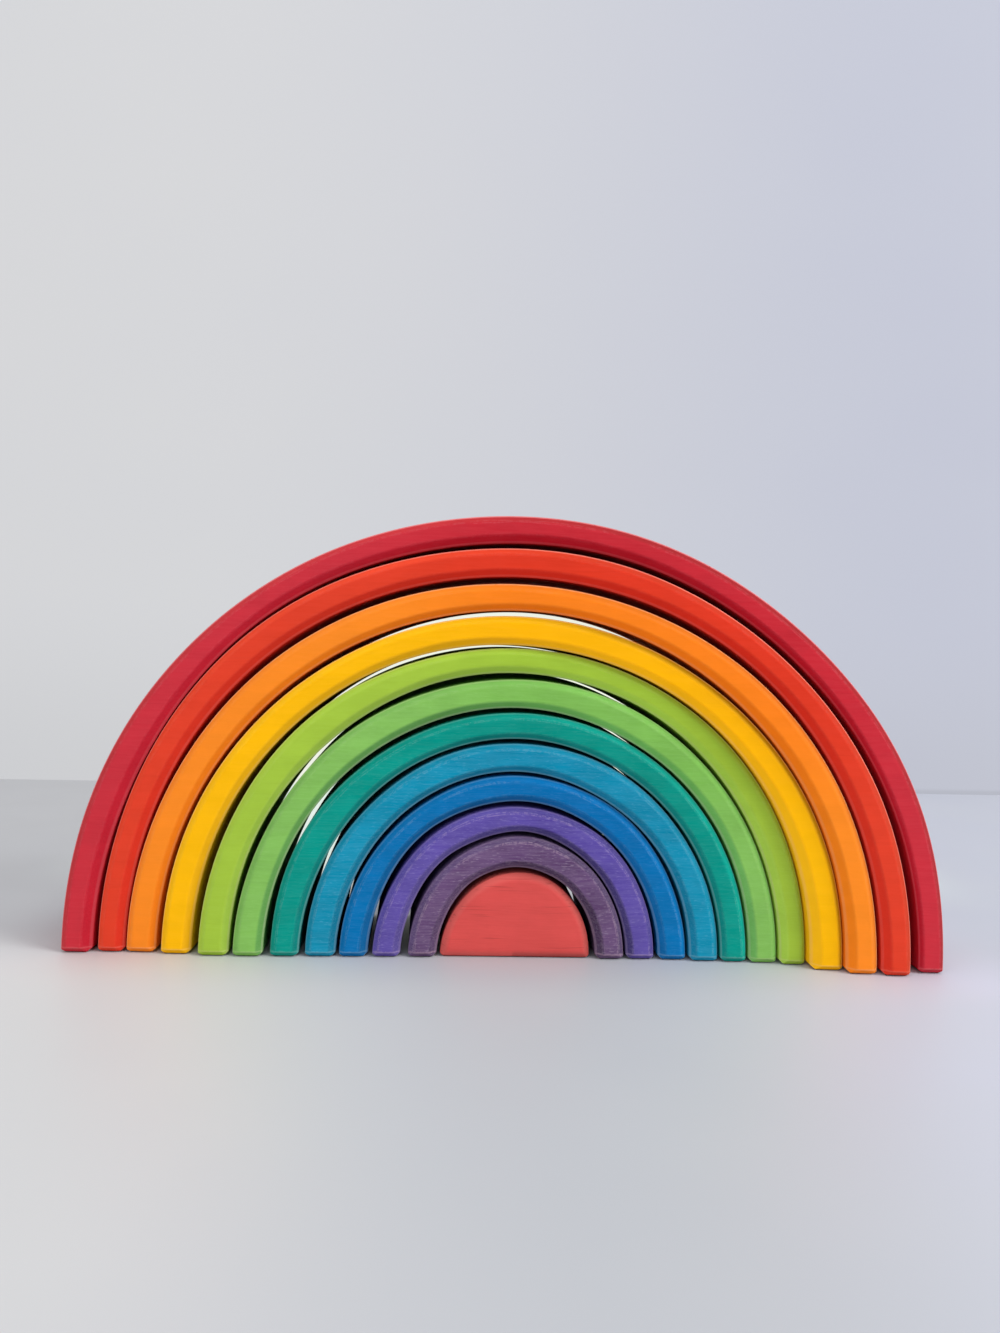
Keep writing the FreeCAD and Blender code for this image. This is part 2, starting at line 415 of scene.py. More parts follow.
def arch_corners(name, size, s, look, seed):
    """The section's eight corners at each row: a box with its four long edges flattened.

    Its two curved sides depart from their arcs as the cuts do, and lean as the cuts do from the
    front face to the back. Near the floor the box is drawn in on all sides, and each bevel loses
    what its two sides are drawn in by, down to a least bevel.
    """
    length = path_length(size)
    share, height, angle = s / length, np.minimum(s, length - s), row_angles(s, size)
    inside = drawn_in(height, *INNER_HEEL)
    outside = drawn_in(height, *OUTER_HEEL)
    toe = drawn_in(height, FOOT_BEVEL, FOOT_BEVEL)
    cuts = CUTS[name]
    low = size["inner"] + departure(cuts["inner"], angle) + inside
    high = size["outer"] + departure(cuts["outer"], angle) - outside
    back_low = low + departure(cuts.get("inner_lean", ()), angle, 0)
    back_high = high + departure(cuts.get("outer_lean", ()), angle, 0)
    side = size["side"] - toe
    inner = INNER_BEVEL * eased(share, *look["widths"])

    def bevel(width, wave, lost):
        left = width * wavering(share, seed + wave) - lost - LEAST_BEVEL
        return LEAST_BEVEL + soft_ramp(left, LEAST_RIDGE)

    front_inner, back_inner = bevel(inner, 0, inside + toe), bevel(INNER_BEVEL, 1, inside + toe)
    front_outer, back_outer = bevel(OUTER_BEVEL, 2, outside + toe), bevel(OUTER_BEVEL, 3, outside + toe)
    across = [low + front_inner, high - front_outer, high, back_high, back_high - back_outer,
              back_low + back_inner, back_low, low]
    deep = [-side, -side, front_outer - side, side - back_outer, side, side, side - back_inner,
            front_inner - side]
    return np.stack([np.stack(across, axis=1), np.stack(deep, axis=1)], axis=-1)


def carried(section, s, size):
    """The section carried over the three arcs.

    On a side arc a point at u is at (u + shift) cos a - shift across and (u + shift) sin a up, and
    the angle a grows evenly with s. Near the floor a is such that the whole row is at one height.
    On the crown it is at (u - short) cos a across and shift + (u - short) sin a up.
    """
    middle, shift, short = (size["inner"] + size["outer"]) / 2, size["shift"], short_of(size["shift"])
    length, climb = path_length(size), (middle + shift) * SIDE_SWEEP
    u, height = section[..., 0], np.minimum(s, length - s)[:, None]
    rest = np.clip((height - FOOT_ROWS[-1]) / BLEND, 0, 1)
    turned = np.arcsin(np.minimum(height / (u + shift), MOST_LEVEL))
    side = turned + (height / (middle + shift) - turned) * rest ** 2 * (3 - 2 * rest)
    crown = SIDE_SWEEP + np.minimum((height - climb) / (middle - short), np.pi / 2)
    over = height > climb
    across = np.where(over, (u - short) * np.cos(crown), (u + shift) * np.cos(side) - shift)
    up = np.where(over, shift + (u - short) * np.sin(crown), (u + shift) * np.sin(side))
    return np.stack([across * np.where(s < length / 2, -1, 1)[:, None], section[..., 1], up], axis=-1)


def path_length(size):
    """Length of an arch along its middle line."""
    middle, shift = (size["inner"] + size["outer"]) / 2, size["shift"]
    return 2 * SIDE_SWEEP * (middle + shift) + (np.pi - 2 * SIDE_SWEEP) * (middle - short_of(shift))


def arch_mesh(name, look, seed):
    """An arch: the bevelled section carried from the left foot over the crown to the right foot."""
    size = measure(name)
    length = path_length(size)
    steps = math.ceil(max(LEAST_ROWS, length / ROW_STEP))
    s = np.concatenate([FOOT_ROWS[:-1], np.linspace(FOOT_ROWS[-1], length - FOOT_ROWS[-1], steps),
                        length - FOOT_ROWS[-2::-1]])
    height = np.minimum(s, length - s)
    corners = arch_corners(name, size, s, look, seed)
    radii = [FACE_RIDGE, OUTER_RIDGE, WALL_RIDGE, WALL_RIDGE]
    radii += [OUTER_RIDGE, FACE_RIDGE, WALL_RIDGE, WALL_RIDGE]
    counts = [FACE_POINTS, BEVEL_POINTS, WALL_POINTS, BEVEL_POINTS] * 2
    codes = [FACE, OUTER_SLOPE, OUTER_WALL, OUTER_SLOPE, FACE, INNER_SLOPE, INNER_WALL, INNER_SLOPE]
    section, ridge, side = loop(corners, radii, counts, codes)
    grid = carried(section, s, size)
    rim = np.interp(side, [OUTER_WALL, OUTER_SLOPE, INNER_SLOPE, INNER_WALL],
                    [OUTER_HEEL[1], FOOT_BEVEL, FOOT_BEVEL, INNER_HEEL[1]])
    above = height[:, None]
    toe = np.abs(above - rim)
    ridge = np.minimum(ridge, np.minimum(toe, above))
    marks = dict(ridge=ridge, side=side, toe=toe, along=np.broadcast_to(s[:, None], ridge.shape))
    grid, marks = capped(grid, marks)
    return mesh_of(name, placed(grid, size), marks)


def disc_profile(depth):
    """From the middle of the front face to the middle of the back face: how far the outline is
    drawn in, how deep the row lies, how much it is shrunk towards the middle, its distance from
    the ridges and its side code."""
    b, inside = OUTER_BEVEL, 3 * OUTER_BEVEL
    corners = np.array([[inside, 0], [b, 0], [0, b], [0, depth - b], [b, depth], [inside, depth]])
    corners = corners[:, None]
    radii = [0, DISC_RIDGE, WALL_RIDGE, WALL_RIDGE, DISC_RIDGE]
    bends = [bend(corners[k - 1], corners[k], corners[k + 1], radii[k]) for k in range(1, 5)]
    counts = [BEVEL_POINTS, WALL_POINTS, BEVEL_POINTS]
    codes = [FACE, OUTER_SLOPE, OUTER_WALL, OUTER_SLOPE, FACE]
    line, ridge, side = [], [], []
    for k, (turn, near) in enumerate(bends):
        line.append(turn[0])
        ridge.append(near[0])
        bent, along = side_codes(codes[k], codes[k + 1], codes[min(k + 2, 4)], counts[min(k, 2)])
        side.append(bent)
        if k < 3:
            flat, flat_near = run(turn[:, -1], bends[k + 1][0][:, 0], counts[k], near[:, -1:])
            line.append(flat[0])
            ridge.append(flat_near[0])
            side.append(along)
    shrink = np.sin(np.linspace(HUB_SIZE, 1, DISC_ROWS)[:-1] * np.pi / 2)
    edge = np.concatenate(line)
    face = np.repeat(edge[:1], len(shrink), axis=0)
    back = np.repeat(edge[-1:], len(shrink), axis=0)
    return (np.concatenate([face, edge, back]),
            np.concatenate([shrink, np.ones(len(edge)), shrink[::-1]]),
            np.concatenate([np.full(len(shrink), np.nan), *ridge, np.full(len(shrink), np.nan)]),
            np.concatenate([np.zeros(len(shrink)), *side, np.zeros(len(shrink))]))


def disc_outline(name, size, inset):
    """The half disc's outline, seen from the front and drawn in by inset: a flat bottom, two
    flattened corners, and the same three arcs as an arch has, which depart as its cut does."""
    right = size["outer"] - inset
    floor = inset * FOOT_BEVEL / OUTER_BEVEL
    width, rise = OUTER_HEEL
    low = np.maximum(rise * (1 - inset / width), floor + LEAST_BEVEL)
    narrow = np.minimum(size["outer"] - width * (1 - floor / rise), right - LEAST_BEVEL)
    shift, short = size["shift"], short_of(size["shift"])
    first = np.arcsin((low + FOOT_RISE) / (right + shift))
    corners = np.stack([
        np.stack([-narrow, narrow, right, (right + shift) * np.cos(first) - shift], axis=1),
        np.stack([floor, floor, low, low + FOOT_RISE], axis=1)], axis=-1)
    sole = bend(corners[:, 0], corners[:, 1], corners[:, 2], FLOOR_RIDGE)[0]
    heel = bend(corners[:, 1], corners[:, 2], corners[:, 3], FLOOR_RIDGE)[0]
    reach = np.zeros((len(right), 1))
    mirror = np.array([-1.0, 1.0])
    bottom = run(sole[:, 0] * mirror, sole[:, 0], BOTTOM_POINTS, reach)[0]
    corner = run(sole[:, -1], heel[:, 0], SLOPE_POINTS, reach)[0]
    foot = run(heel[:, -1], corners[:, 3], FOOT_POINTS, reach)[0]
    t = np.linspace(0, 1, SIDE_POINTS)
    angle = first[:, None] * (1 - t) + SIDE_SWEEP * t
    wide, crown = (right + shift)[:, None], (right - short)[:, None]
    side = np.stack([wide * np.cos(angle) - shift, wide * np.sin(angle)], axis=-1)
    angle = np.linspace(SIDE_SWEEP, np.pi - SIDE_SWEEP, CROWN_POINTS)[1:-1]
    top = np.stack([crown * np.cos(angle), shift + crown * np.sin(angle)], axis=-1)
    climb = np.concatenate([sole, corner, heel, foot, side], axis=1)
    whole = np.concatenate([bottom, climb, top, (climb * mirror)[:, ::-1]], axis=1)
    out = departure(CUTS[name]["outer"], np.arctan2(whole[..., 1], whole[..., 0]))
    return whole * (1 + out / right[:, None])[..., None]


def disc_mesh(name):
    """The half disc: its outline carried from the middle of the front face out to the edge,
    over the bevel, through the depth, over the back bevel and in to the middle of the back."""
    size = measure(name)
    line, shrink, ridge, side = disc_profile(2 * size["side"])
    outline = disc_outline(name, size, line[:, 0])
    middle = np.array([0.0, size["shift"] + HUB_HEIGHT * size["outer"]])
    flat = middle + (outline - middle) * shrink[:, None, None]
    ridge = np.where(np.isnan(ridge)[:, None], OUTER_RIDGE + np.linalg.norm(flat - outline, axis=-1),
                     np.nan_to_num(ridge)[:, None])
    deep = np.broadcast_to((line[:, 1] - size["side"])[:, None], ridge.shape)
    grid = np.stack([flat[..., 0], deep, flat[..., 1]], axis=-1)
    step = np.linalg.norm(np.diff(outline[0], axis=0, prepend=outline[:1, 0]), axis=-1)
    marks = dict(ridge=ridge, side=np.broadcast_to(side[:, None], ridge.shape),
                 toe=np.full(ridge.shape, FAR), along=np.broadcast_to(np.cumsum(step), ridge.shape))
    return mesh_of(name, placed(grid, size), marks)


# Building nodes

def linear(colour):
    """A screen colour of 0 to 255 as light, with full opacity."""
    c = np.array(colour, float) / 255
    light = np.where(c <= 0.04045, c / 12.92, ((c + 0.055) / 1.055) ** 2.4)
    return (*light.tolist(), 1.0)


def add(tree, kind, inputs=None, **settings):
    """New node with its settings, and its inputs given as values or as other nodes' sockets."""
    made = tree.nodes.new(kind)
    for name, value in settings.items():
        setattr(made, name, value)
    for key, value in (inputs or {}).items():
        if isinstance(value, bpy.types.NodeSocket):
            tree.links.new(value, made.inputs[key])
        else:
            made.inputs[key].default_value = value
    return made


def calc(tree, operation, *values):
    """Result of a sum, product or other operation on numbers."""
    return add(tree, "ShaderNodeMath", dict(enumerate(values)), operation=operation).outputs[0]


def times(tree, value, other):
    """Product of two numbers."""
    return calc(tree, "MULTIPLY", value, other)


def between(tree, value, low, high):
    """0 below low, 1 above high, eased between them."""
    inputs = {"Value": value, "From Min": low, "From Max": high}
    return add(tree, "ShaderNodeMapRange", inputs, interpolation_type="SMOOTHSTEP").outputs[0]


def mixed(tree, share, first, second):
    """Colour on the way from the first to the second."""
    return add(tree, "ShaderNodeMix", {0: share, 6: first, 7: second}, data_type="RGBA").outputs[2]


def apart(tree, value, other):
    """How far a number is from another."""
    return calc(tree, "ABSOLUTE", calc(tree, "SUBTRACT", value, other))


def scaled(tree, vector, scale):
    """A place or a colour, times a number."""
    return add(tree, "ShaderNodeVectorMath", {0: vector, "Scale": scale}, operation="SCALE").outputs[0]


def grain(tree, place, size, detail, rough=0.55):
    """Cloudy pattern whose clouds are as long along each axis as size says, in millimetres."""
    inputs = {0: place, 1: [1 / length for length in size]}
    sized = add(tree, "ShaderNodeVectorMath", inputs, operation="MULTIPLY").outputs[0]
    inputs = {"Vector": sized, "Scale": 1.0, "Detail": detail, "Roughness": rough}
    return add(tree, "ShaderNodeTexNoise", inputs)


def group(name, inputs, outputs):
    """Empty node group with these sockets. Gives it and its input and output nodes."""
    tree = bpy.data.node_groups.new(name, "ShaderNodeTree")
    for label, (kind, value) in inputs.items():
        socket = tree.interface.new_socket(label, in_out="INPUT", socket_type="NodeSocket" + kind)
        socket.default_value = value
    for label, kind in outputs.items():
        tree.interface.new_socket(label, in_out="OUTPUT", socket_type="NodeSocket" + kind)
    return tree, tree.nodes.new("NodeGroupInput").outputs, tree.nodes.new("NodeGroupOutput").inputs


# The place that a group's input has by itself
ORIGIN = ("Vector", (0, 0, 0))

# The wood's patterns: how long their clouds are along each axis, how detailed and rough they are, and
# between which two strengths of the clouds each one comes up
WOOD_PATTERNS = {
    "Fibre": ((16, 1.0, 0.75), 4.0, 0.62, 0.3, 0.7),
    "Fleck": ((2.6, 0.55, 0.42), 2.0, 0.55, 0.56, 0.7),
    "Ring": ((220, 14, 6), 2.0, 0.55, 0.35, 0.65),
    "Blotch": ((17, 12, 11), 3.0, 0.55, 0.3, 0.7),
    "Streak": ((34, 2.2, 0.8), 1.0, 0.55, 0.64, 0.74),
}


def wood_group():
    """Pattern of the wood: fibres, flecks and streaks that run along X, growth rings and blotches.

    All pieces are cut from one block, so its fibres cross the legs and follow the top. All but
    the blotches sway a little.
    """
    tree, given, made = group("wood", {"Place": ORIGIN, "Seed": ("Float", 0)},
                              {label: "Float" for label in WOOD_PATTERNS})
    millimetres = scaled(tree, given["Place"], 1 / MM)
    moved = add(tree, "ShaderNodeVectorMath", {0: millimetres, 1: given["Seed"]},
                operation="ADD").outputs[0]
    sway = grain(tree, moved, (70, 50, 40), 1.0).outputs["Color"]
    swayed = add(tree, "ShaderNodeVectorMath", {0: sway, 1: (0, 5, 7), 2: moved},
                 operation="MULTIPLY_ADD").outputs[0]
    for label, (size, detail, rough, low, high) in WOOD_PATTERNS.items():
        clouds = grain(tree, moved if label == "Blotch" else swayed, size, detail, rough)
        tree.links.new(between(tree, clouds.outputs["Fac"], low, high), made[label])
    return tree


# The codes about which the sawn rim and the outer edge lie, and how far to either side of a line
# along a ridge the wood is rubbed at most
SAWN_CODE = 1.38
EDGE_CODE = -1.4
WORN_REACH = 0.8


def wear_and_highlight_group():
    """Where an edge is rubbed: short broken dashes along the ridges beside the face, whose width
    and strength come and go, and the rim where the inner wall's saw cut begins; and where a highlight
    is painted: along the outer wall's edge, and on the line over the foot's bevel."""
    tree, given, made = group(
        "wear_and_highlights",
        {"Place": ORIGIN, "Ridge": ("Float", FAR), "Side": ("Float", FACE), "Toe": ("Float", FAR)},
        {"Worn": "Float", "Sawn": "Float", "Outer Highlight": "Float", "Toe": "Float"})
    millimetres = scaled(tree, given["Place"], 1 / MM)
    ragged = grain(tree, millimetres, (0.9, 0.9, 0.9), 3.0, 0.7).outputs["Fac"]
    dashes = grain(tree, millimetres, (1.7, 1.7, 1.7), 4.0, 0.75).outputs["Fac"]
    patchy = grain(tree, millimetres, (16, 16, 16), 2.0).outputs["Fac"]
    reach = times(tree, ragged, WORN_REACH)
    stray = calc(tree, "MULTIPLY_ADD", between(tree, patchy, 0.3, 0.7), 0.5, 0.05)
    off = apart(tree, given["Ridge"], stray)
    line = between(tree, calc(tree, "DIVIDE", off, reach), 1.0, 0.35)
    outwards = calc(tree, "MULTIPLY_ADD", between(tree, given["Side"], 0.25, -0.1), 0.6, 0.4)
    beside = between(tree, calc(tree, "ABSOLUTE", given["Side"]), 1.1, 0.8)
    broken = times(tree, between(tree, dashes, 0.42, 0.56), between(tree, patchy, 0.32, 0.5))
    rubbed = times(tree, outwards, beside)
    worn = times(tree, times(tree, line, broken), rubbed)
    tree.links.new(worn, made["Worn"])
    uneven = between(tree, dashes, 0.15, 0.5)
    # The outer edge's line is where a highlight is painted; the sawn rim is wear.
    for label, code in (("Sawn", SAWN_CODE), ("Outer Highlight", EDGE_CODE)):
        past = apart(tree, given["Side"], code)
        tree.links.new(times(tree, between(tree, past, 0.3, 0.2), uneven), made[label])
    # The line over the foot's bevel, where a highlight is painted.
    over = between(tree, times(tree, given["Toe"], calc(tree, "ADD", ragged, 0.5)), 0.5, 0.2)
    facing = between(tree, calc(tree, "ABSOLUTE", given["Side"]), 1.6, 1.2)
    tree.links.new(times(tree, times(tree, over, facing), uneven), made["Toe"])
    return tree


def saw_group():
    """Height of the curved walls' saw marks: uneven ripples across the cut, and fuzz."""
    tree, given, made = group(
        "saw marks", {"Place": ORIGIN, "Along": ("Float", 0), "Side": ("Float", FACE)},
        {"Height": "Float", "Wall": "Float"})
    wall = between(tree, calc(tree, "ABSOLUTE", given["Side"]), 1.35, 1.7)
    line = add(tree, "ShaderNodeCombineXYZ", {0: given["Along"]}).outputs[0]
    ripple = grain(tree, line, (1.4, 1, 1), 2.0).outputs["Fac"]
    millimetres = scaled(tree, given["Place"], 1 / MM)
    fuzz = grain(tree, millimetres, (0.7, 0.5, 0.5), 3.0, 0.7).outputs["Fac"]
    tree.links.new(times(tree, calc(tree, "ADD", ripple, fuzz), wall), made["Height"])
    tree.links.new(wall, made["Wall"])
    return tree


def shading_places_group():
    """Where round the rainbow painted light and shade go: 1 at the top and upper right, where the stain is
    deepened as painted shade, 1 on the right, where the bevels are brightened or darkened as painted
    light and shade, and 1 within a fraction of a millimetre of the floor, for a painted contact shadow."""
    tree, given, made = group("painted shade round the arch", {"Place": ORIGIN},
                              {"Top": "Float", "Right": "Float", "Contact Shadow": "Float"})
    spot = add(tree, "ShaderNodeSeparateXYZ", {0: given["Place"]}).outputs
    turn = calc(tree, "DIVIDE", calc(tree, "ARCTAN2", spot["Z"], spot["X"]), math.pi)
    # Painted shade: the stain is deepened at the top and upper right.
    tree.links.new(between(tree, apart(tree, turn, 0.38), 0.27, 0.11), made["Top"])
    # Painted light and shade: the bevels grow brighter or darker towards the right foot.
    tree.links.new(between(tree, turn, 0.62, 0.38), made["Right"])
    # Painted contact shadow within a fraction of a millimetre of the floor.
    tree.links.new(between(tree, spot["Z"], 0.6 * MM, 0.3 * MM), made["Contact Shadow"])
    return tree


# How bright the stain is where the wood soaks it up, on fibres, and in the painted contact shadow where
# a foot meets the floor, as shares of its own brightness, and the whitish light that shows through on
# fibres
SOAKED = 0.66
DRY = 1.16
FOOT_SHADE = 0.15
WHITISH = (1.0, 0.93, 0.96, 1)


def stain_and_shade_group():
    """Colour of stained wood, with painted light and shade: the stain of the face or of a bevel,
    the bevels brighter or darker towards the right as painted light and shade, deeper at the top as
    painted shade, deeper in the rings, blotches and streaks, paler on fibres and flecks, greyish on the
    sawn rim, lighter at the outer edge and over the foot's bevel as painted highlights, dark where the
    foot meets the floor as a painted contact shadow, and down to bare wood where a ridge is worn."""
    masks = ("Fibre", "Fleck", "Ring", "Blotch", "Streak", "Worn", "Outwards", "Inwards", "Sawn",
             "Outer Highlight", "Toe", "Contact Shadow", "Top", "Right")
    shares = SHOWN + ("Crown Shade Strength", "Brighter Outer", "Brighter Inner")
    colours = ("Face", "Outer", "Inner", "Bare", "Light")
    inputs = {label: ("Float", 0) for label in masks + shares}
    inputs.update({label: ("Color", (1, 1, 1, 1)) for label in colours})
    tree, given, made = group("stain", inputs, {"Colour": "Color"})
    flat = given["Face"]
    # The bevels' own stains, brighter or darker towards the right, are partly painted light and shade.
    for mask, label in (("Outwards", "Outer"), ("Inwards", "Inner")):
        brighter = calc(tree, "MULTIPLY_ADD", given["Brighter " + label], given["Right"], 1.0)
        flat = mixed(tree, given[mask], flat, scaled(tree, given[label], brighter))
    # Painted shade: the stain is deepened at the top and upper right.
    depth = calc(tree, "MULTIPLY_ADD", given["Crown Shade Strength"], given["Top"], 1.0)
    flat = add(tree, "ShaderNodeGamma", {"Color": flat, "Gamma": depth}).outputs[0]
    deep = scaled(tree, flat, SOAKED)
    pale = mixed(tree, given["Paleness"], scaled(tree, flat, DRY), WHITISH)
    soaked = times(tree, given["Blotch"], given["Blotches"])
    ringed = times(tree, given["Ring"], times(tree, given["Fibres"], 0.55))
    colour = mixed(tree, soaked, flat, deep)
    colour = mixed(tree, ringed, colour, deep)
    light = times(tree, given["Fibre"], given["Fibres"])
    colour = mixed(tree, times(tree, light, 0.6), colour, pale)
    colour = mixed(tree, times(tree, given["Fleck"], given["Flecks"]), colour, pale)
    colour = mixed(tree, times(tree, given["Streak"], given["Streaks"]), colour, deep)
    # The greyish sawn rim and the worn ridges are wear; the lighter lines at the outer edge and over the
    # foot's bevel are painted highlights.
    for mask, share, over in (("Sawn", "Rim", "Bare"), ("Outer Highlight", "Outer Highlighting", "Light"),
                              ("Toe", "Toe Highlighting", "Light"), ("Worn", "Wearing", "Bare")):
        colour = mixed(tree, times(tree, given[mask], given[share]), colour, given[over])
    # Painted contact shadow where a foot meets the floor.
    colour = mixed(tree, given["Contact Shadow"], colour, scaled(tree, colour, FOOT_SHADE))
    tree.links.new(colour, made["Colour"])
    return tree


WOOD, WEAR_AND_HIGHLIGHT, SAW, SHADING_PLACES, STAIN_AND_SHADE = wood_group(), wear_and_highlight_group(), saw_group(), shading_places_group(), stain_and_shade_group()


# The colours that a stain is moved towards where it is rubbed off, and along edges where a highlight is
# painted
BARE_WOOD = (205, 185, 188)
LIT_EDGE = (255, 225, 215)


def shade_of(colour, towards, share):
    """A colour moved towards another by a share."""
    return tuple(a + (b - a) * share for a, b in zip(colour, towards))


def use(tree, shared, inputs):
    """One of the shared groups, placed in a material."""
    return add(tree, "ShaderNodeGroup", inputs, node_tree=shared).outputs


# Height of the grain's relief, and how much the matte stain mirrors
RELIEF = 0.12
MIRRORED = 0.04


def stained_and_shaded_wood(name, look, seed):
    """Matte water stain on sanded wood: colour from the stain group, which also paints light and shade,
    a little gloss on the fibres, and relief from the grain and the saw marks."""
    material = bpy.data.materials.new(name)
    material.use_nodes = True
    tree = material.node_tree
    shader = tree.nodes["Principled BSDF"]
    place = add(tree, "ShaderNodeTexCoord").outputs["Object"]
    ridge, side, toe, along = [add(tree, "ShaderNodeAttribute", attribute_name=mark).outputs["Fac"]
                               for mark in ("ridge", "side", "toe", "along")]
    wood = use(tree, WOOD, {"Place": place, "Seed": float(37 * seed)})
    wear_and_highlights = use(tree, WEAR_AND_HIGHLIGHT, {"Place": place, "Ridge": ridge, "Side": side, "Toe": toe})
    saw = use(tree, SAW, {"Place": place, "Along": along, "Side": side})
    spot = use(tree, SHADING_PLACES, {"Place": place})
    stain = look["stain"]
    masks = {output.name: output for outputs in (wood, wear_and_highlights, spot) for output in outputs}
    # The bevels' stains, their change towards the right and the deeper top are partly painted light and
    # shade.
    colour = use(tree, STAIN_AND_SHADE, {
        **masks, **dict(zip(SHOWN, look["shows"])), "Crown Shade Strength": look["crown_shade"],
        "Outwards": between(tree, side, -0.25, -0.75), "Inwards": between(tree, side, 0.25, 0.75),
        "Brighter Outer": look["right"][0] - 1, "Brighter Inner": look["right"][1] - 1,
        "Face": linear(stain), "Outer": linear(look["outer"]), "Inner": linear(look["inner"]),
        "Bare": linear(shade_of(stain, BARE_WOOD, 0.6)),
        "Light": linear(shade_of(stain, LIT_EDGE, 0.5))})
    tree.links.new(colour["Colour"], shader.inputs["Base Color"])
    rough = calc(tree, "MULTIPLY_ADD", wood["Fibre"], 0.12, 0.52)
    rough = calc(tree, "MULTIPLY_ADD", saw["Wall"], 0.2, rough)
    tree.links.new(rough, shader.inputs["Roughness"])
    shader.inputs["Specular IOR Level"].default_value = MIRRORED
    relief = calc(tree, "MULTIPLY_ADD", wood["Fibre"], 0.3, times(tree, wood["Fleck"], 0.2))
    relief = calc(tree, "ADD", relief, saw["Height"])
    bump = add(tree, "ShaderNodeBump", {"Strength": 0.35, "Distance": RELIEF * MM, "Height": relief})
    tree.links.new(bump.outputs["Normal"], shader.inputs["Normal"])
    return material


# The pieces

def make_piece(name, look, seed):
    """One piece of the rainbow in its stain, with painted light and shade, standing for its solid and
    lifted with it.
    """
    mesh = disc_mesh(name) if name == "coral_half_disc" else arch_mesh(name, look, seed)
    colour = name.split("_")[0]
    mesh.materials.append(stained_and_shaded_wood(colour + " stain and painted shade", look, seed))
    piece = bpy.data.objects.new(name.replace("_", "-"), mesh)
    bpy.context.scene.collection.objects.link(piece)
    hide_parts(name)
    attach(piece, name)


for seed, (name, look) in enumerate(PIECES.items()):
    make_piece(name, look, seed)


# Table and wall

def stage_mesh(name, corners, material):
    """A flat sheet that isn't part of the toy, such as the table top or the wall."""
    mesh = bpy.data.meshes.new(name)
    mesh.from_pydata([Vector(c) * MM for c in corners], [], [(0, 1, 2, 3)])
    mesh.materials.append(material)
    sheet = bpy.data.objects.new(name, mesh)
    bpy.context.scene.collection.objects.link(sheet)


def lit_paint(name, rough):
    """New material for a pale sheet, its tree, its shader and the place in millimetres."""
    material = bpy.data.materials.new(name)
    material.use_nodes = True
    tree = material.node_tree
    shader = tree.nodes["Principled BSDF"]
    shader.inputs["Roughness"].default_value = rough
    shader.inputs["Specular IOR Level"].default_value = 0.2
    place = add(tree, "ShaderNodeTexCoord").outputs["Object"]
    return material, tree, shader, scaled(tree, place, 1 / MM)


def coat(tree, shader, colour, own):
    """Coat a sheet with a colour, a share of whose brightness is the sheet's own light. That
    keeps the sheet pale where the toy shades it, and the toy's colours faint on it."""
    tree.links.new(scaled(tree, colour, own), shader.inputs["Emission Color"])
    shader.inputs["Emission Strength"].default_value = 1.0
    rest = calc(tree, "SUBTRACT", 1.0, own)
    tree.links.new(scaled(tree, colour, rest), shader.inputs["Base Color"])


# Tones of the table and of the wall, as a screen shows them, and how much of their brightness is
# their own light
# The table's middle tone and its tones behind the toy are painted shade, and its pool tone is painted
# light.
TABLE_TONES = {
    "left": (209, 209, 209), "right": (200, 202, 217), "middle": (183, 187, 193),
    "shadow behind left": (174, 174, 177), "shadow behind right": (185, 188, 201), "light_pool": (226, 240, 230),
    "cloud": (196, 198, 202),
}
# The wall's patch tone is a painted glow of light, and its seam tone is painted shade where the wall meets
# the table.
WALL_TONES = {
    "left": (214, 214, 215), "right": (191, 194, 209), "low left": (200, 201, 203),
    "low right": (186, 188, 199), "painted glow": (240, 244, 229), "corner_shade": (176, 179, 189),
    "cloud": (203, 206, 214),
}
TABLE_OWN = 0.5
WALL_OWN = 0.85


def table_paint():
    """Pale table top: greyish at the left, bluish at the right, darker in the middle as painted shade and
    from the toy on back as the toy's painted shadow, bright in a soft pool behind the toy as painted
    light, and a little cloudy. It has no light of its own under the toy."""
    material, tree, shader, place = lit_paint("table paint", 0.45)
    x, y, _ = add(tree, "ShaderNodeSeparateXYZ", {0: place}).outputs
    tone = {part: linear(colour) for part, colour in TABLE_TONES.items()}
    colour = mixed(tree, between(tree, x, -150.0, 180.0), tone["left"], tone["right"])
    # Painted shade in the middle of the table.
    middle = between(tree, apart(tree, x, 25.0), 150.0, 10.0)
    colour = mixed(tree, times(tree, middle, 0.85), colour, tone["middle"])
    # Painted shadow of the toy, from the toy on back.
    back = mixed(tree, between(tree, x, -150.0, 220.0), tone["shadow behind left"], tone["shadow behind right"])
    colour = mixed(tree, times(tree, between(tree, y, -62.0, 0.0), 0.95), colour, back)
    # Painted pool of light behind the toy.
    light_pool = times(tree, between(tree, apart(tree, x, 10.0), 280.0, 180.0), between(tree, y, 60.0, 150.0))
    colour = mixed(tree, light_pool, colour, tone["light_pool"])
    cloud = grain(tree, place, (120, 90, 90), 2.0).outputs["Fac"]
    colour = mixed(tree, times(tree, cloud, 0.5), colour, tone["cloud"])
    under = times(tree, between(tree, apart(tree, x, -3.0), 240.0, 195.0),
                  between(tree, apart(tree, y, -6.0), 85.0, 46.0))
    coat(tree, shader, colour, calc(tree, "MULTIPLY_ADD", under, -TABLE_OWN, TABLE_OWN))
    return material


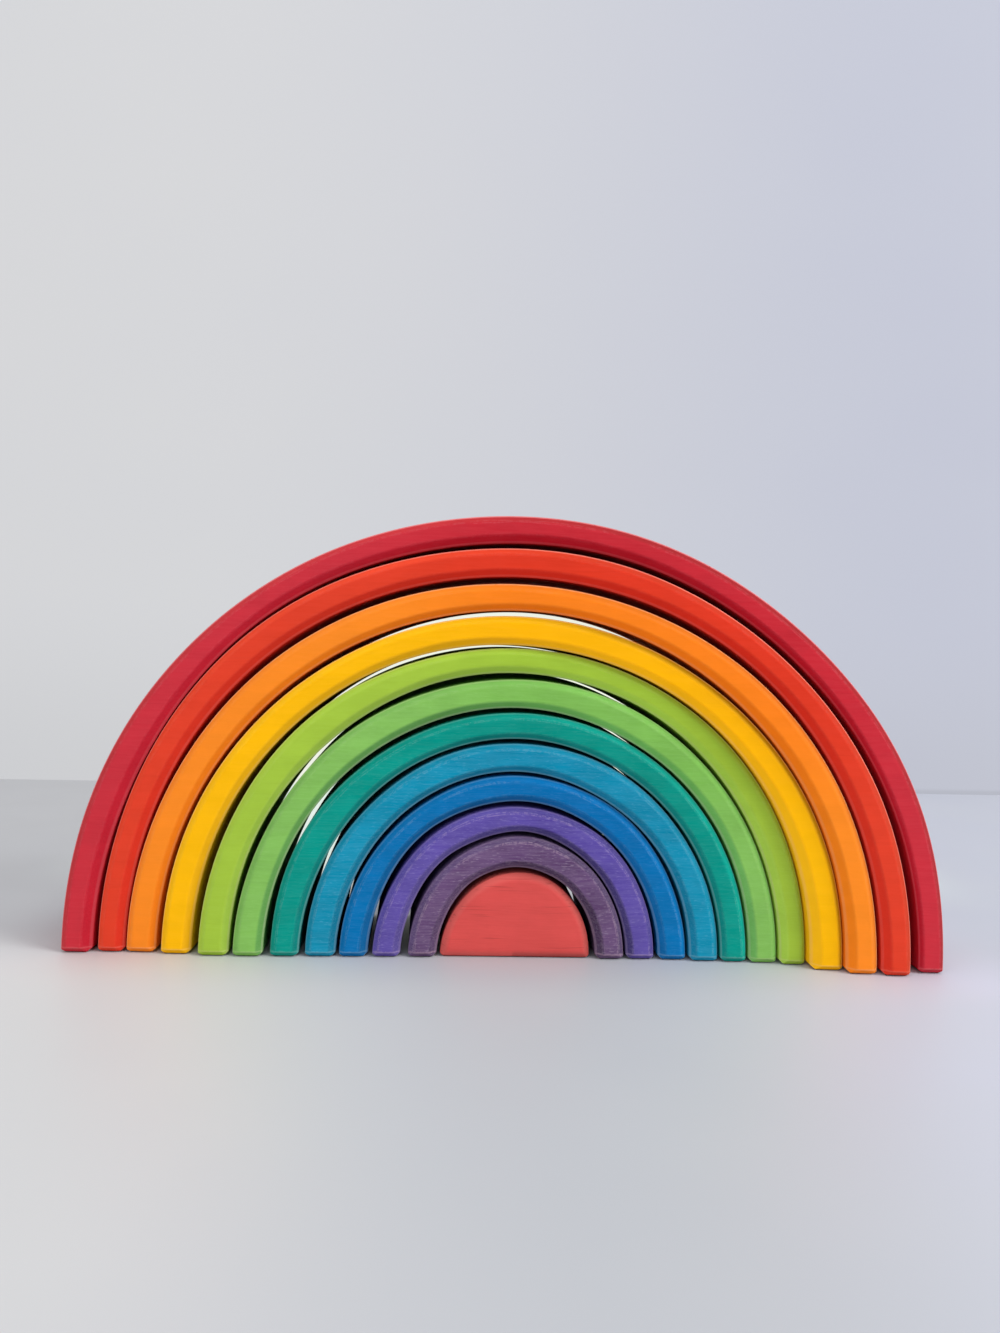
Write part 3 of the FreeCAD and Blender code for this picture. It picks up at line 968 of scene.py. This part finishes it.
def wall_paint():
    """Pale matte wall, greyish at the left and bluish at the right, a little darker towards the table,
    cloudy, softly bright round a place behind the toy as a painted glow of light, with a thin dark line
    of painted shade along the table at the right, and clear when it is looked at from behind."""
    material, tree, shader, place = lit_paint("wall paint", 0.8)
    x, _, z = add(tree, "ShaderNodeSeparateXYZ", {0: place}).outputs
    tone = {part: linear(colour) for part, colour in WALL_TONES.items()}
    colour = mixed(tree, between(tree, x, -330.0, 420.0), tone["left"], tone["right"])
    low = mixed(tree, between(tree, x, -200.0, 200.0), tone["low left"], tone["low right"])
    colour = mixed(tree, times(tree, between(tree, z, 170.0, 0.0), 0.6), colour, low)
    cloud = grain(tree, place, (300, 300, 220), 2.0).outputs["Fac"]
    colour = mixed(tree, times(tree, cloud, 0.4), colour, tone["cloud"])
    # Painted glow of light round a place behind the toy.
    across, up = apart(tree, x, 10.0), apart(tree, z, -146.0)
    away = calc(tree, "SQRT", calc(tree, "ADD", times(tree, across, across), times(tree, up, up)))
    colour = mixed(tree, between(tree, away, 366.0, 286.0), colour, tone["painted glow"])
    # Painted shade where the wall meets the table at the right.
    corner_shade = times(tree, between(tree, z, 6.0, 2.0), between(tree, x, 60.0, 260.0))
    colour = mixed(tree, times(tree, corner_shade, 0.7), colour, tone["corner_shade"])
    coat(tree, shader, colour, WALL_OWN)
    behind = add(tree, "ShaderNodeNewGeometry").outputs["Backfacing"]
    seen = add(tree, "ShaderNodeLightPath").outputs["Is Camera Ray"]
    clear = add(tree, "ShaderNodeBsdfTransparent").outputs[0]
    both = add(tree, "ShaderNodeMixShader", {0: times(tree, behind, seen), 1: shader.outputs[0], 2: clear})
    tree.links.new(both.outputs[0], tree.nodes["Material Output"].inputs["Surface"])
    return material


# How far the sheets reach from the middle, how high the wall is, how far behind the middle it
# stands, how far it slants away over that reach, and how far behind its ends stand
REACH = 4000
WALL_HEIGHT = 3000
WALL_BEHIND = 454
SLANT = REACH * math.tan(math.radians(4.9))
LEFT_END, RIGHT_END = WALL_BEHIND - SLANT, WALL_BEHIND + SLANT

stage_mesh("table", [(-REACH, -REACH, 0), (REACH, -REACH, 0), (REACH, REACH, 0), (-REACH, REACH, 0)],
           table_paint())
stage_mesh("wall", [(-REACH, LEFT_END, 0), (REACH, RIGHT_END, 0), (REACH, RIGHT_END, WALL_HEIGHT),
                    (-REACH, LEFT_END, WALL_HEIGHT)], wall_paint())


# Light

# The square lamps: place and width in metres, power and colour
LAMPS = {
    "key lamp": ((1.45, -0.80, 1.15), 0.8, 27.6, (1.0, 0.99, 0.97)),
    "fill lamp": ((-0.95, -1.5, 0.5), 1.4, 11.2, (0.97, 0.98, 1.0)),
    "top lamp": ((0.1, -0.1, 1.5), 1.2, 6.3, (1.0, 1.0, 1.0)),
}
TOY_MIDDLE = Vector((0, 0, 0.08))

# The room's own light
ROOM_COLOUR = (236, 240, 246)
ROOM_LIGHT = 0.52


def soft_lamp(name, place, size, power, colour):
    """Square lamp that looks at the middle of the toy."""
    lamp = bpy.data.lights.new(name, "AREA")
    lamp.energy = power
    lamp.size = size
    lamp.color = colour
    holder = bpy.data.objects.new(name, lamp)
    holder.location = place
    holder.rotation_euler = (TOY_MIDDLE - Vector(place)).to_track_quat("-Z", "Y").to_euler()
    bpy.context.scene.collection.objects.link(holder)


for name, lamp in LAMPS.items():
    soft_lamp(name, *lamp)

world = bpy.data.worlds.new("room")
world.use_nodes = True
sky = world.node_tree.nodes["Background"]
sky.inputs["Color"].default_value = linear(ROOM_COLOUR)
sky.inputs["Strength"].default_value = ROOM_LIGHT
bpy.context.scene.world = world
bpy.context.scene.view_settings.view_transform = "Standard"


# Camera

# The photograph's camera: its distance from its own picture and that picture's height in pixels,
# where it stands in millimetres, and how far it is turned clockwise, tipped down and rolled, in degrees
PICTURE_AWAY = 1046.2
PICTURE_HEIGHT = 1333
FRAME_HEIGHT = 36
CAMERA_PLACE = Vector((-20.9, -485.7, 143.8)) * MM
CAMERA_TURNS = 1.45, 2.12, 1.89


def place_camera():
    """Camera of the photograph: a short lens, lower than the toy's top, looking a little down."""
    camera = bpy.data.cameras.new("camera")
    camera.lens = FRAME_HEIGHT * PICTURE_AWAY / PICTURE_HEIGHT
    camera.sensor_width = FRAME_HEIGHT
    camera.clip_start, camera.clip_end = 0.02, 20
    turn, down, roll = map(math.radians, CAMERA_TURNS)
    ahead = Vector((math.sin(turn), math.cos(turn), 0))
    right = Vector((math.cos(turn), -math.sin(turn), 0))
    view = ahead * math.cos(down) - Vector((0, 0, math.sin(down)))
    up = right.cross(view)
    right, up = (right * math.cos(roll) + up * math.sin(roll),
                 up * math.cos(roll) - right * math.sin(roll))
    holder = bpy.data.objects.new("camera", camera)
    turned = Matrix((right, up, -view)).transposed().to_4x4()
    holder.matrix_world = Matrix.Translation(CAMERA_PLACE) @ turned
    bpy.context.scene.collection.objects.link(holder)
    bpy.context.scene.camera = holder


place_camera()
